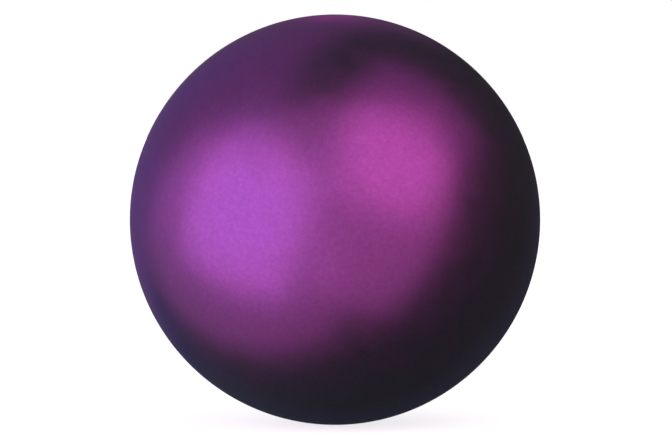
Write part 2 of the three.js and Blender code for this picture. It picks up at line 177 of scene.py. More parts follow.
# Softboxes: name, azimuth, elevation and roll in degrees, width and height as shares of the distance,
# brightness (1 shows as white), and tint. Lamps in one plane take light from each other, so key_core, which
# lies over key_left, is turned a degree or so away from it.
LAMP_DISTANCE = 4
LAMPS = [
    ("key_left", -51, 5, -25, 1.5, 1.6, 0.68, (0.9, 0.95, 1.0)),
    ("key_core", -52, 4, -25, 1.0, 1.0, 0.18, (0.0, 0.4, 1.0)),
    ("second_right", 54, 46, -65, 1.1, 1.8, 0.20, (1.0, 0.7, 1.0)),
    ("front_low", 31, 9, -20, 1.3, 3.2, 0.40, (1.0, 0.9, 0.9)),
    ("front_high", 15, 39, 70, 1.0, 2.4, 0.32, (1.0, 0.9, 0.9)),
    ("fill_low_left", -63, -17, -25, 3.3, 2.2, 0.29, (1.0, 0.9, 0.9)),
    ("back_left", 228, 32, 25, 2.6, 1.7, 0.17, (0.9, 0.6, 1.0)),
    ("back_low", 200, -16, -80, 1.1, 3.2, 0.035, (0.3, 1.0, 1.0)),
    ("rim_left", 212, 8, 0, 0.5, 1.4, 0.07, (0.0, 0.0, 1.0)),
    ("rim_top", 180, 22, 0, 0.1, 0.1, 1.10, (1.0, 0.1, 0.85)),
    ("back_centre", 180, -3, 0, 0.3, 0.3, 1.50, (1.0, 1.0, 1.0)),
]


def add_lamps():
    for name, azimuth, elevation, roll, width_share, height_share, brightness, tint in LAMPS:
        data = bpy.data.lights.new(name, "AREA")
        data.shape = "RECTANGLE"
        data.size = width_share * LAMP_DISTANCE
        data.size_y = height_share * LAMP_DISTANCE
        data.energy = brightness * math.pi * data.size * data.size_y
        data.color = tint
        lamp = add_object(name, data)
        away = direction(azimuth, elevation)
        facing = away.to_track_quat("Z", "Y").to_matrix().to_4x4()
        spin = turn(math.radians(roll), "Z")
        lamp.matrix_world = Matrix.Translation(away * LAMP_DISTANCE) @ facing @ spin
        lamp.visible_camera = False


WHITE = (1, 1, 1, 1)

# How strongly the white surroundings and the floor's own glow show to each kind of ray, where 1 is white
WHITE_TO_CAMERA = 1.0
WHITE_TO_GLOSS = 0.002
WHITE_TO_DIFFUSE = 0.2
FLOOR_TO_CAMERA = 0.78

FLOOR_SHADE = 0.8
FLOOR_RADIUS = 4
FLOOR_SEGMENTS = 96


def set_up_world():
    """Even white surroundings, whose strength depends on the kind of ray. They aren't sampled as a lamp."""
    world = bpy.data.worlds.new("studio")
    world.use_nodes = True
    world.cycles.sampling_method = "NONE"
    bpy.context.scene.world = world
    tree = world.node_tree
    tree.nodes.clear()
    background = tree.nodes.new("ShaderNodeBackground")
    output = tree.nodes.new("ShaderNodeOutputWorld")
    background.inputs["Color"].default_value = WHITE
    tree.links.new(background.outputs["Background"], output.inputs["Surface"])
    path = tree.nodes.new("ShaderNodeLightPath")
    total = None
    for ray, strength in (
        ("Is Camera Ray", WHITE_TO_CAMERA),
        ("Is Transmission Ray", WHITE_TO_CAMERA),
        ("Is Glossy Ray", WHITE_TO_GLOSS),
        ("Is Diffuse Ray", WHITE_TO_DIFFUSE),
    ):
        step = tree.nodes.new("ShaderNodeMath")
        step.operation = "MULTIPLY_ADD"
        tree.links.new(path.outputs[ray], step.inputs[0])
        step.inputs[1].default_value = strength
        step.inputs[2].default_value = 0
        if total is not None:
            tree.links.new(total, step.inputs[2])
        total = step.outputs[0]
    tree.links.new(total, background.inputs["Strength"])


def add_floor():
    """A pale round floor under the ball. Some lamps lie below its level, so it shades nothing and isn't
    mirrored in the ball, but it takes the ball's shadow."""
    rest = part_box("coverstock")[0].z
    rim = [(x, y, rest) for x, y in arc(0, 0, FLOOR_RADIUS, 0, math.tau, FLOOR_SEGMENTS)[:-1]]
    mesh = make_mesh("floor", rim, [list(range(FLOOR_SEGMENTS))], Matrix())
    floor = add_object("floor", mesh)
    floor.visible_shadow = False
    floor.visible_glossy = False
    material = bpy.data.materials.new("pale_floor")
    material.use_nodes = True
    tree = material.node_tree
    shader = tree.nodes["Principled BSDF"]
    shader.inputs["Base Color"].default_value = (FLOOR_SHADE, FLOOR_SHADE, FLOOR_SHADE, 1)
    shader.inputs["Roughness"].default_value = 1
    shader.inputs["Specular IOR Level"].default_value = 0
    shader.inputs["Emission Color"].default_value = WHITE
    path = tree.nodes.new("ShaderNodeLightPath")
    glow = tree.nodes.new("ShaderNodeMath")
    glow.operation = "MULTIPLY"
    tree.links.new(path.outputs["Is Camera Ray"], glow.inputs[0])
    glow.inputs[1].default_value = FLOOR_TO_CAMERA
    tree.links.new(glow.outputs[0], shader.inputs["Emission Strength"])
    mesh.materials.append(material)


# Frames. Each has its +Z along a hole's axis, pointing out of the ball, and starts at the ball's centre.
HALF_SPAN_ANGLE = (GRIP_SPAN + THUMB_BORE_RADIUS + INSERT_BORE_RADIUS) / BALL_RADIUS / 2
HALF_BRIDGE_ANGLE = (FINGER_BRIDGE + 2 * INSERT_RADIUS) / BALL_RADIUS / 2
GRIP_FRAME = (
    turn(math.radians(GRIP_AZIMUTH_DEG), "Z")
    @ turn(math.pi / 2, "X")
    @ turn(math.radians(GRIP_ROLL_DEG), "Z")
)
THUMB_FRAME = GRIP_FRAME @ turn(HALF_SPAN_ANGLE, "X")
MIDDLE_FRAME = GRIP_FRAME @ turn(-HALF_SPAN_ANGLE, "X") @ turn(-HALF_BRIDGE_ANGLE, "Y")
RING_FRAME = GRIP_FRAME @ turn(-HALF_SPAN_ANGLE, "X") @ turn(HALF_BRIDGE_ANGLE, "Y")
PIN_FRAME = (
    GRIP_FRAME
    @ turn(-HALF_SPAN_ANGLE - PIN_PAST_FINGERS / BALL_RADIUS, "X")
    @ turn(PIN_TO_THE_RIGHT / BALL_RADIUS, "Y")
)
MARK_FRAME = (
    GRIP_FRAME
    @ turn(MARK_TOWARDS_THUMB / BALL_RADIUS, "X")
    @ turn(MARK_TO_THE_RIGHT / BALL_RADIUS, "Y")
)


def base_height(node, place):
    """The lowest point of a CAD node along a frame's axis."""
    axis = place.to_3x3().col[2]
    return min(vertex.co.dot(axis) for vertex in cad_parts[node].data.vertices)


# Heights in the thumb hole, from the ball's centre along the hole's axis
SLEEVE_BASE = base_height("thumb_sleeve", THUMB_FRAME)
CHAMBER_BASE = SLEEVE_BASE + SLEEVE_FLOOR
BAR_BASE = CHAMBER_BASE + BAR_HEADROOM
BAR_TOP = BAR_BASE + BAR_THICKNESS
CHAMBER_TOP = BAR_TOP + BAR_HEADROOM
SLUG_SEAT = CHAMBER_TOP + CATCH_PLATE
SLUG_BASE = SLUG_SEAT + SLIDE_CLEARANCE
THUMB_FLOOR = SLUG_BASE + SLUG_FLOOR
SPINDLE_HEAD_BASE = THUMB_FLOOR - SPINDLE_HEAD


# Outlines are lists of (distance from the axis, height along it).
def arc(radius, height, size, start, end, steps=ARC_STEPS):
    """Points on a circle round (radius, height), both ends included."""
    angles = (start + (end - start) * i / steps for i in range(steps + 1))
    return [(radius + size * math.cos(a), height + size * math.sin(a)) for a in angles]


def cap(radius):
    """The ball's own surface, from a given distance off the axis in to the axis."""
    return arc(0, 0, BALL_RADIUS, math.acos(radius / BALL_RADIUS), math.pi / 2)


def lip(bore_radius, size):
    """A rounded edge that leaves the ball's surface and ends on the wall of a bore."""
    middle = bore_radius + size
    height = math.sqrt((BALL_RADIUS - size) ** 2 - middle**2)
    return arc(middle, height, size, math.atan2(height, middle), math.pi)


def brow(radius, size):
    """A rounded edge between a plug's side and its end, which lies on the ball's surface."""
    middle = radius - size
    height = math.sqrt((BALL_RADIUS - size) ** 2 - middle**2)
    return arc(middle, height, size, 0, math.atan2(height, middle), SHORT_ARC_STEPS)


def rounded(corners, size):
    """An outline whose inner corners are rounded off. The two ends stay as they are."""
    points = [Vector(corner) for corner in corners]
    outline = [tuple(points[0])]
    for before, corner, after in zip(points, points[1:], points[2:]):
        back = (before - corner).normalized()
        onward = (after - corner).normalized()
        half = back.angle(onward) / 2
        reach = min(size / math.tan(half), (before - corner).length / 2, (after - corner).length / 2)
        inset = reach * math.tan(half)
        middle = corner + (back + onward).normalized() * (inset / math.sin(half))
        first = corner + back * reach - middle
        last = corner + onward * reach - middle
        sweep = first.angle_signed(last)
        for i in range(SHORT_ARC_STEPS + 1):
            spoke = first.copy()
            spoke.rotate(Matrix.Rotation(-sweep * i / SHORT_ARC_STEPS, 2))
            outline.append(tuple(middle + spoke))
    outline.append(tuple(points[-1]))
    return outline


# Plans are lists of (x, y), counter-clockwise as seen from outside the ball.
def bar_plan(length, width):
    """A bar whose ends are arcs round its middle."""
    corner = math.asin(width / length)
    right = arc(0, 0, length / 2, -corner, corner)
    left = arc(0, 0, length / 2, math.pi - corner, math.pi + corner)
    return right + left


def corner_radius(sides, across_flats):
    """How far the corners of a regular polygon lie from its middle."""
    return across_flats / 2 / math.cos(math.pi / sides)


def polygon_plan(sides, across_flats):
    last_corner = math.tau * (sides - 1) / sides
    return arc(0, 0, corner_radius(sides, across_flats), 0, last_corner, sides - 1)


def box_plan(width, depth):
    x, y = width / 2, depth / 2
    return [(-x, -y), (x, -y), (x, y), (-x, y)]


# Meshes
def make_mesh(name, vertices, faces, place):
    mesh = bpy.data.meshes.new(name)
    mesh.from_pydata([place @ Vector(v) for v in vertices], [], faces)
    mesh.update()
    return mesh


def revolved(name, outline, place, segments=HOLE_SEGMENTS):
    """A solid of revolution. The outline starts and ends on the axis, or is joined end to start.
    A point on the axis is one vertex, so the faces round it are triangles."""
    vertices = []
    rings = []
    for radius, height in outline:
        start = len(vertices)
        if radius == 0:
            vertices.append((0, 0, height))
            rings.append([start] * segments)
            continue
        for i in range(segments):
            angle = math.tau * i / segments
            vertices.append((radius * math.cos(angle), radius * math.sin(angle), height))
        rings.append(list(range(start, start + segments)))
    pairs = list(zip(rings, rings[1:]))
    if outline[0][0] > 0:
        pairs.append((rings[-1], rings[0]))
    faces = []
    for lower, upper in pairs:
        for i in range(segments):
            j = (i + 1) % segments
            corners = [lower[i], lower[j], upper[j], upper[i]]
            face = [c for k, c in enumerate(corners) if c != corners[k - 1]]
            if len(face) > 2:
                faces.append(face)
    return make_mesh(name, vertices, faces, place)


def prism(name, plan, base, top, place):
    """An upright solid over a plan."""
    count = len(plan)
    vertices = [(x, y, base) for x, y in plan] + [(x, y, top) for x, y in plan]
    faces = [list(range(count))[::-1], list(range(count, 2 * count))]
    for i in range(count):
        j = (i + 1) % count
        faces.append([i, j, count + j, count + i])
    return make_mesh(name, vertices, faces, place)


# Edges flatter than this are shaded smooth and get no bevel.
SMOOTH_BELOW_DEG = 32

# How near the sphere a corner has to lie to be on it, as a share of the radius
ON_SURFACE_SHARE = 1e-5

# Corners closer together than this are one.
SAME_POINT = 1e-6


def settle(made):
    """Puts what the piece's modifiers make into its mesh."""
    bpy.context.view_layer.update()
    result = made.evaluated_get(bpy.context.evaluated_depsgraph_get())
    mesh = bpy.data.meshes.new_from_object(result)
    made.modifiers.clear()
    made.data = mesh
    mesh.name = made.name


def clean_cuts(mesh):
    """Joins corners that a cut left in one place, and splits faces of more than four corners."""
    cut = bmesh.new()
    cut.from_mesh(mesh)
    bmesh.ops.remove_doubles(cut, verts=cut.verts, dist=SAME_POINT)
    many_cornered = [face for face in cut.faces if len(face.verts) > 4]
    bmesh.ops.triangulate(cut, faces=many_cornered, ngon_method="BEAUTY")
    cut.to_mesh(mesh)
    cut.free()


def combine(base, tools, operation="DIFFERENCE"):
    """Cuts other meshes out of a piece's mesh, or joins them to it."""
    for index, tool_mesh in enumerate(tools):
        tool = add_object(f"{base.name}_tool_{index}", tool_mesh)
        modifier = base.modifiers.new("combine", "BOOLEAN")
        modifier.operation = operation
        modifier.solver = "EXACT"
        modifier.object = tool
        settle(base)
        bpy.data.objects.remove(tool)
    clean_cuts(base.data)


def round_edges(made, size):
    modifier = made.modifiers.new("round", "BEVEL")
    modifier.width = size
    modifier.segments = BEVEL_STEPS
    modifier.limit_method = "ANGLE"
    modifier.angle_limit = math.radians(SMOOTH_BELOW_DEG)
    settle(made)


def shade(made):
    """Smooth shading with sharp edges."""
    made.data.shade_smooth()
    made.data.set_sharp_from_angle(angle=math.radians(SMOOTH_BELOW_DEG))


def shade_as_sphere(made):
    """Shades a piece, with the true sphere's normals where it is part of the ball's own surface."""
    shade(made)
    mesh = made.data
    near = BALL_RADIUS * ON_SURFACE_SHARE
    normals = [Vector(corner.vector) for corner in mesh.corner_normals]
    for face in mesh.polygons:
        points = [mesh.vertices[v].co for v in face.vertices]
        if all(abs(p.length - BALL_RADIUS) < near for p in points):
            for loop, p in zip(face.loop_indices, points):
                normals[loop] = p.normalized()
    mesh.normals_split_custom_set(normals)


# The moulded ball
def closed_ball(name, radius, segments):
    """A ball with one vertex at each pole."""
    between_poles = arc(0, 0, radius, -math.pi / 2, math.pi / 2, segments // 2)[1:-1]
    return revolved(name, [(0, -radius), *between_poles, (0, radius)], Matrix(), segments)


def drill(name, place, steps, mouth_rounding=MOUTH_ROUNDING, segments=HOLE_SEGMENTS):
    """A hole's shape. Steps are (radius, floor height) from the deepest up; the mouth is rounded."""
    outline = [(0, steps[0][1])]
    for radius, floor in steps:
        outline.append((outline[-1][0], floor))
        outline.append((radius, floor))
    edge = lip(steps[-1][0], mouth_rounding)[::-1]
    rim_radius, rim_height = edge[-1]
    outward = (BALL_RADIUS + OVERRUN) / BALL_RADIUS
    outline += [*edge, (rim_radius * outward, rim_height * outward), (0, rim_height * outward)]
    distinct = [p for i, p in enumerate(outline) if i == 0 or p != outline[i - 1]]
    return revolved(name, distinct, place, segments)


def finger_drill(place):
    seat = BALL_RADIUS - INSERT_LENGTH - BOND_GAP
    floor = BALL_RADIUS - FINGER_HOLE_DEPTH
    return drill("finger_drill", place, [(FINGER_HOLE_RADIUS, floor), (INSERT_RADIUS + BOND_GAP, seat)])


def plug_drill(name, place, radius, floor):
    return drill(name, place, [(radius + BOND_GAP, floor)], BOND_GAP, SMALL_SEGMENTS)


def make_coverstock():
    """The shell, with the core's cavity and all the holes cut out of it."""
    cover = add_object("coverstock_shell", closed_ball("coverstock_shell", BALL_RADIUS, BALL_SEGMENTS))
    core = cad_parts["outer_core"].data
    cavity = max(vertex.co.length for vertex in core.vertices) + BOND_GAP
    combine(cover, [
        closed_ball("cavity", cavity, BALL_SEGMENTS // 2),
        finger_drill(MIDDLE_FRAME),
        finger_drill(RING_FRAME),
        drill("thumb_drill", THUMB_FRAME, [(SLEEVE_RADIUS + BOND_GAP, SLEEVE_BASE - BOND_GAP)]),
        plug_drill("pin_drill", PIN_FRAME, PIN_RADIUS, BLOCK_TOP),
        plug_drill("mark_punch", MARK_FRAME, MARK_RADIUS, BALL_RADIUS - MARK_DEPTH - BOND_GAP),
    ])
    shade_as_sphere(cover)
    dress(cover, "ball", "pearl_resin", "coverstock")


def make_plug(name, place, radius, base, rounding, slot, node):
    """A round plug whose end is part of the ball's surface."""
    top = cap(radius - rounding)
    outline = [(0, base), (radius, base), *brow(radius, rounding), *top[1:-1], (0, top[-1][1])]
    plug = add_object(name, revolved(name, outline, place, SMALL_SEGMENTS))
    shade(plug)
    dress(plug, "ball", slot, node)


def make_pin():
    base = BLOCK_TOP + BOND_GAP
    make_plug("locator_pin_plug", PIN_FRAME, PIN_RADIUS, base, EDGE_ROUNDING, "pin_resin", "locator_pin")


def make_mark():
    base = BALL_RADIUS - MARK_DEPTH
    make_plug("cg_mark_plug", MARK_FRAME, MARK_RADIUS, base, BOND_GAP, "mark_resin", "cg_mark")


# The grip
def make_insert(name, place, node):
    """A grip that is round outside. Its bore is oval, because it narrows one way from the outside in."""
    base = BALL_RADIUS - INSERT_LENGTH
    outline = [
        (INSERT_BORE_RADIUS, base),
        (INSERT_RADIUS, base),
        *brow(INSERT_RADIUS, EDGE_ROUNDING),
        *lip(INSERT_BORE_RADIUS, INSERT_LIP),
    ]
    mesh = revolved(name, outline, Matrix())
    for vertex in mesh.vertices:
        radius = math.hypot(vertex.co.x, vertex.co.y)
        inward = (INSERT_RADIUS - radius) / (INSERT_RADIUS - INSERT_BORE_RADIUS)
        vertex.co.y *= 1 + (INSERT_OVAL_SHARE - 1) * min(max(inward, 0), 1)
    mesh.transform(place)
    insert = add_object(name, mesh)
    shade(insert)
    dress(insert, "ball", "insert_rubber", node)


def make_sleeve():
    """The tube in the thumb hole, with a slot through its catch plate and a chamber where the bar turns."""
    outline = [
        (0, SLEEVE_BASE),
        (SLEEVE_RADIUS, SLEEVE_BASE),
        *brow(SLEEVE_RADIUS, EDGE_ROUNDING),
        *lip(SLEEVE_BORE_RADIUS, EDGE_ROUNDING),
        (SLEEVE_BORE_RADIUS, SLUG_SEAT),
        (0, SLUG_SEAT),
    ]
    sleeve = add_object("thumb_sleeve_tube", revolved("thumb_sleeve_tube", outline, THUMB_FRAME))
    chamber_radius = BAR_LENGTH / 2 + SLOT_CLEARANCE + CHAMBER_UNDERCUT
    chamber = [
        (0, CHAMBER_BASE),
        (chamber_radius, CHAMBER_BASE),
        (chamber_radius, CHAMBER_TOP),
        (0, CHAMBER_TOP),
    ]
    slot = bar_plan(BAR_LENGTH + 2 * SLOT_CLEARANCE, BAR_WIDTH + 2 * SLOT_CLEARANCE)
    combine(sleeve, [
        revolved("chamber", chamber, THUMB_FRAME),
        prism("slot", slot, BAR_TOP, SLUG_SEAT + OVERRUN, THUMB_FRAME),
    ])
    shade(sleeve)
    dress(sleeve, "ball", "sleeve_plastic", "thumb_sleeve")


def make_slug():
    """The bored slug, with the spindle's hole in its floor and a tenon under it that fills the slot."""
    head_hole = SPINDLE_HEAD_RADIUS + TURN_CLEARANCE
    head_seat = SPINDLE_HEAD_BASE - TURN_CLEARANCE
    floor_corner = rounded([
        (THUMB_BORE_RADIUS, THUMB_FLOOR + SLUG_LIP),
        (THUMB_BORE_RADIUS, THUMB_FLOOR),
        (head_hole, THUMB_FLOOR),
        (head_hole, head_seat),
    ], EDGE_ROUNDING)
    outline = [
        (0, SLUG_BASE),
        (SLUG_RADIUS - SLUG_FOOT_CHAMFER, SLUG_BASE),
        (SLUG_RADIUS, SLUG_BASE + SLUG_FOOT_CHAMFER),
        *brow(SLUG_RADIUS, EDGE_ROUNDING),
        *lip(THUMB_BORE_RADIUS, SLUG_LIP),
        *floor_corner[1:-1],
        (head_hole, head_seat),
        (0, head_seat),
    ]
    slug = add_object("thumb_slug_bored", revolved("thumb_slug_bored", outline, THUMB_FRAME))
    tenon_base = SLUG_BASE - SLUG_TENON
    tenon_top = SLUG_BASE + SLUG_FOOT_CHAMFER
    tenon = prism("tenon", bar_plan(BAR_LENGTH, BAR_WIDTH), tenon_base, tenon_top, THUMB_FRAME)
    combine(slug, [tenon], "UNION")
    neck_hole = SPINDLE_NECK_RADIUS + TURN_CLEARANCE
    base = tenon_base - OVERRUN
    bore = [(0, base), (neck_hole, base), (neck_hole, THUMB_FLOOR), (0, THUMB_FLOOR)]
    combine(slug, [revolved("bore", bore, THUMB_FRAME, SMALL_SEGMENTS)])
    shade(slug)
    dress(slug, "slug", "slug_plastic", "thumb_slug")


# The lock
def make_spindle():
    """A headed pin with a key socket. The tang at its foot has two flats and a hole for the screw."""
    tang_base = BAR_TOP - SPINDLE_TANG
    outline = rounded([
        (0, tang_base),
        (SPINDLE_NECK_RADIUS, tang_base),
        (SPINDLE_NECK_RADIUS, SPINDLE_HEAD_BASE),
        (SPINDLE_HEAD_RADIUS, SPINDLE_HEAD_BASE),
        (SPINDLE_HEAD_RADIUS, THUMB_FLOOR),
        (0, THUMB_FLOOR),
    ], EDGE_ROUNDING)
    mesh = revolved("lock_spindle_turned", outline, THUMB_FRAME, SMALL_SEGMENTS)
    spindle = add_object("lock_spindle_turned", mesh)
    shoulder = BAR_TOP + BOND_GAP
    side_plan = box_plan(2 * OVERRUN, 2 * (SPINDLE_HEAD_RADIUS + OVERRUN))
    flats = []
    for side in (-1, 1):
        shifted = [(x + side * (SPINDLE_FLATS / 2 + OVERRUN), y) for x, y in side_plan]
        flats.append(prism("flat", shifted, tang_base - OVERRUN, shoulder, THUMB_FRAME))
    socket_plan = polygon_plan(KEY_SIDES, KEY_SOCKET_ACROSS_FLATS)
    socket_floor = THUMB_FLOOR - KEY_SOCKET_DEPTH
    socket = prism("socket", socket_plan, socket_floor, THUMB_FLOOR + OVERRUN, THUMB_FRAME)
    screw_top = BAR_BASE + SCREW_HEAD + SCREW_LENGTH + BOND_GAP
    screw_base = tang_base - OVERRUN
    hole_radius = SCREW_RADIUS + BOND_GAP
    hole = [(0, screw_base), (hole_radius, screw_base), (hole_radius, screw_top), (0, screw_top)]
    combine(spindle, [*flats, socket, revolved("screw_hole", hole, THUMB_FRAME, SMALL_SEGMENTS)])
    shade(spindle)
    dress(spindle, "lock", "lock_steel", "lock_spindle")


def make_bar():
    """The turning bar, with a hole that fits the spindle's tang and a counterbored way for the screw."""
    block = prism("bar", bar_plan(BAR_LENGTH, BAR_WIDTH), BAR_BASE, BAR_TOP, THUMB_FRAME)
    bar = add_object("lock_bar_bevelled", block)
    round_edges(bar, EDGE_ROUNDING)
    tang_base = BAR_TOP - SPINDLE_TANG - BOND_GAP
    half_flats = SPINDLE_FLATS / 2 + BOND_GAP
    tang_radius = SPINDLE_NECK_RADIUS + BOND_GAP
    corner = math.acos(half_flats / tang_radius)
    near = arc(0, 0, tang_radius, corner, math.pi - corner)
    far = arc(0, 0, tang_radius, math.pi + corner, math.tau - corner)
    head_top = BAR_BASE + SCREW_HEAD + BOND_GAP
    head_radius = SCREW_HEAD_RADIUS + BOND_GAP
    shank_radius = SCREW_RADIUS + BOND_GAP
    screw_way = [
        (0, BAR_BASE - OVERRUN),
        (head_radius, BAR_BASE - OVERRUN),
        (head_radius, head_top),
        (shank_radius, head_top),
        (shank_radius, BAR_TOP + OVERRUN),
        (0, BAR_TOP + OVERRUN),
    ]
    combine(bar, [
        prism("tang_hole", near + far, tang_base, BAR_TOP + OVERRUN, THUMB_FRAME),
        revolved("screw_way", screw_way, THUMB_FRAME, SMALL_SEGMENTS),
    ])
    shade(bar)
    dress(bar, "lock", "lock_steel", "lock_bar")


def make_screw():
    """A slotted screw, whose head lies flush in the underside of the bar."""
    head_top = BAR_BASE + SCREW_HEAD
    outline = rounded([
        (0, BAR_BASE),
        (SCREW_HEAD_RADIUS, BAR_BASE),
        (SCREW_HEAD_RADIUS, head_top),
        (SCREW_RADIUS, head_top),
        (SCREW_RADIUS, head_top + SCREW_LENGTH),
        (0, head_top + SCREW_LENGTH),
    ], EDGE_ROUNDING)
    mesh = revolved("lock_screw_turned", outline, THUMB_FRAME, SMALL_SEGMENTS)
    screw = add_object("lock_screw_turned", mesh)
    plan = box_plan(2 * (SCREW_HEAD_RADIUS + OVERRUN), SCREW_SLOT_WIDTH)
    slot_top = BAR_BASE + SCREW_SLOT_DEPTH
    combine(screw, [prism("screw_slot", plan, BAR_BASE - OVERRUN, slot_top, THUMB_FRAME)])
    shade(screw)
    dress(screw, "lock", "lock_steel", "lock_screw")


# Materials. Patterns are in features per metre, and reliefs and depths in metres.
MATERIALS = {}

# Most of a noise lies between these two values.
NOISE_LOW = 0.3
NOISE_HIGH = 0.7


def material_for(slot):
    """The slot's material, made when a piece first needs it."""
    if slot not in MATERIALS:
        maker, look = LOOKS[slot]
        MATERIALS[slot] = maker(slot, **look)
    return MATERIALS[slot]


def dress(made, body, slot, *nodes):
    """Gives a piece its material, hangs it on the body it rides on, and hides the CAD nodes it stands for.
    """
    made.data.materials.clear()
    made.data.materials.append(material_for(slot))
    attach(made, body)
    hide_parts(*nodes)


def carry(node, slot):
    """Keeps a CAD node and gives it its material."""
    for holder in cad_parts[node].material_slots:
        holder.material = material_for(slot)


class Finish:
    """A material under construction: its Principled shader, and short names for the nodes it needs.
    Texture coordinates are the object's own, in metres from the ball's centre."""

    def __init__(self, name, **sockets):
        self.material = bpy.data.materials.new(name)
        self.material.use_nodes = True
        self.tree = self.material.node_tree
        self.shader = self.tree.nodes["Principled BSDF"]
        self.place = self.node("ShaderNodeTexCoord").outputs["Object"]
        self.set(**sockets)

    def node(self, kind, settings=None, **inputs):
        made = self.tree.nodes.new(kind)
        for key, value in (settings or {}).items():
            setattr(made, key, value)
        for socket, value in inputs.items():
            self.feed(made.inputs[socket.replace("_", " ")], value)
        return made

    def feed(self, socket, value):
        """Links another node's output to a socket, or sets the socket to a plain value."""
        if isinstance(value, bpy.types.NodeSocket):
            self.tree.links.new(value, socket)
        else:
            socket.default_value = value

    def noise(self, scale, detail=2):
        made = self.node("ShaderNodeTexNoise", Vector=self.place, Scale=scale, Detail=detail)
        return made.outputs["Fac"]

    def thumb_axis(self):
        """How far a point lies along the thumb hole's axis, and how far off it."""
        axis = tuple(THUMB_FRAME.to_3x3().col[2])
        along = self.vector("DOT_PRODUCT", self.place, axis)
        away = self.vector("LENGTH", self.vector("CROSS_PRODUCT", self.place, axis, "Vector"))
        return along, away

    def rings(self, scale, detail=2):
        """Turning marks round the thumb hole's axis, on sides and end faces alike."""
        line = {"noise_dimensions": "1D"}
        turned = self.math("ADD", *self.thumb_axis())
        made = self.node("ShaderNodeTexNoise", line, W=turned, Scale=scale, Detail=detail)
        return made.outputs["Fac"]

    def depth(self):
        """How deep a point lies under the ball's surface."""
        return self.math("SUBTRACT", BALL_RADIUS, self.vector("LENGTH", self.place))

    def cells(self, scale):
        """One random number for each small cell."""
        made = self.node("ShaderNodeTexVoronoi", Vector=self.place, Scale=scale)
        split = self.node("ShaderNodeSeparateColor", Color=made.outputs["Color"])
        return split.outputs["Red"]

    def vector(self, operation, first, second=(0, 0, 0), output="Value"):
        made = self.node("ShaderNodeVectorMath", {"operation": operation})
        for socket, value in zip(made.inputs, (first, second)):
            self.feed(socket, value)
        return made.outputs[output]

    def math(self, operation, first, second=0, third=0):
        made = self.node("ShaderNodeMath", {"operation": operation})
        for socket, value in zip(made.inputs, (first, second, third)):
            self.feed(socket, value)
        return made.outputs[0]

    def product(self, first, *others):
        for other in others:
            first = self.math("MULTIPLY", first, other)
        return first

    def ramp(self, value, start, end, over=(0, 1)):
        """Goes from start to end while the value crosses a range, and stays level outside it."""
        made = self.node("ShaderNodeMapRange", Value=value)
        for socket, number in zip(list(made.inputs)[1:5], (*over, start, end)):
            self.feed(socket, number)
        return made.outputs["Result"]

    def around(self, noise, middle, swing):
        """A noise spread evenly about a middle value."""
        return self.ramp(noise, middle - swing, middle + swing, over=(NOISE_LOW, NOISE_HIGH))

    def blend(self, factor, first, second):
        """A mix of two colours, each a plain one or another node's output."""
        made = self.node("ShaderNodeMix", {"data_type": "RGBA"}, Factor=factor)
        colors = [socket for socket in made.inputs if socket.type == "RGBA"]
        for socket, value in zip(colors, (first, second)):
            self.feed(socket, value if isinstance(value, bpy.types.NodeSocket) else (*value, 1))
        return next(socket for socket in made.outputs if socket.type == "RGBA")

    def shaded(self, color, amount):
        """A colour made lighter or darker by a factor around 1."""
        made = self.node("ShaderNodeVectorMath", {"operation": "SCALE"}, Scale=amount)
        self.feed(made.inputs[0], color)
        return made.outputs["Vector"]

    def relief(self, height, distance, strength):
        made = self.node("ShaderNodeBump", Height=height, Distance=distance, Strength=strength)
        self.feed(self.shader.inputs["Normal"], made.outputs["Normal"])

    def set(self, **sockets):
        """Feeds the shader's own sockets, and hands over the material."""
        for socket, value in sockets.items():
            self.feed(self.shader.inputs[socket.replace("_", " ")], value)
        return self.material


# The haze tints the pearl's sheen, and the edge dims what the pearl mirrors at a low angle.
# The violet and magenta ends hold part of the lamps' tints as painted light: the cool key light on the left,
# the warmer lamps on the right.
PEARL_VIOLET_WITH_PAINTED_COOL_TINT = (0.47, 0.096, 0.56)
PEARL_MAGENTA_WITH_PAINTED_WARM_TINT = (0.56, 0.074, 0.45)
PEARL_HAZE = (0.3, 1.0, 0.65)
PEARL_EDGE = (0.68, 0.6, 0.68)
PEARL_CLOUDS = 14
PEARL_MOTTLE = 420
PEARL_FLAKES = 1500
PEARL_SMEARS = 90
PEARL_GRAIN = 1300
PEARL_RELIEF = 0.00001
PEARL_ROUGHNESS = 0.345

# The pearl's drilled walls: the depths where the duller look sets in and is complete, and that look
DRILLED_DEPTHS = (0.8 * MOUTH_ROUNDING, 1.6 * MOUTH_ROUNDING)
DRILLED_SHADE = 0.45
DRILLED_ROUGHNESS = 0.25


